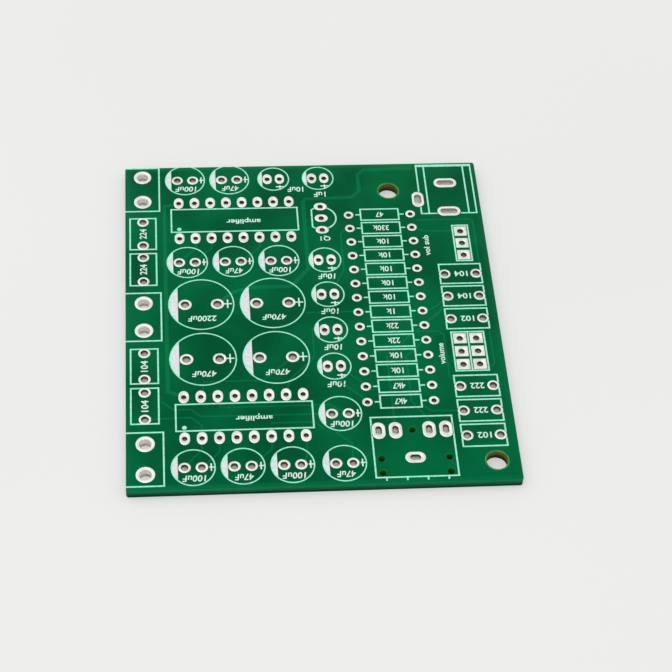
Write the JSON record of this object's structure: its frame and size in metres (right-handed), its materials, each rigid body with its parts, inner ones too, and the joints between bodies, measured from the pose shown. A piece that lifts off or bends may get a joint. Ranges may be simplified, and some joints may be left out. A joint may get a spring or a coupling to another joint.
{
  "type": "amplifier circuit board",
  "caption": "Bare double-sided amplifier circuit board: drilled green laminate with tinned through-hole pads, a white printed component legend and fixing holes at two corners.",
  "frame": {"origin": "under the middle of the board, in the plane of the lower lands that it lies on", "axes": "+X across the board to the resistors and jacks, +Y away from the audio jack's edge to the power jack's edge, +Z out of the printed face"},
  "size_m": [0.0576, 0.064, 0.0017],
  "materials": {
    "solder_mask": "green solder mask over glass laminate, half gloss",
    "tinned_pads": "bright tin over copper",
    "legend_ink": "white screen-printed ink"
  },
  "bodies": {
    "root": {"board": "solder_mask", "terminal_pads_rear": "tinned_pads", "terminal_pads_middle": "tinned_pads", "terminal_pads_front": "tinned_pads", "film_capacitor_pads_left": "tinned_pads", "film_capacitor_pads_right": "tinned_pads", "amplifier_pads_rear": "tinned_pads", "amplifier_pads_front": "tinned_pads", "transistor_pads": "tinned_pads", "resistor_pads": "tinned_pads", "small_capacitor_pads": "tinned_pads", "medium_capacitor_pads": "tinned_pads", "large_capacitor_pads": "tinned_pads", "volume_header_pads": "tinned_pads", "sub_volume_header_pads": "tinned_pads", "power_jack_pads": "tinned_pads", "audio_jack_pads": "tinned_pads", "terminal_outlines": "legend_ink", "film_capacitor_outlines": "legend_ink", "amplifier_outlines": "legend_ink", "transistor_outline": "legend_ink", "resistor_outlines": "legend_ink", "capacitor_outlines": "legend_ink", "header_outlines": "legend_ink", "jack_outlines": "legend_ink"}
  },
  "joints": []
}
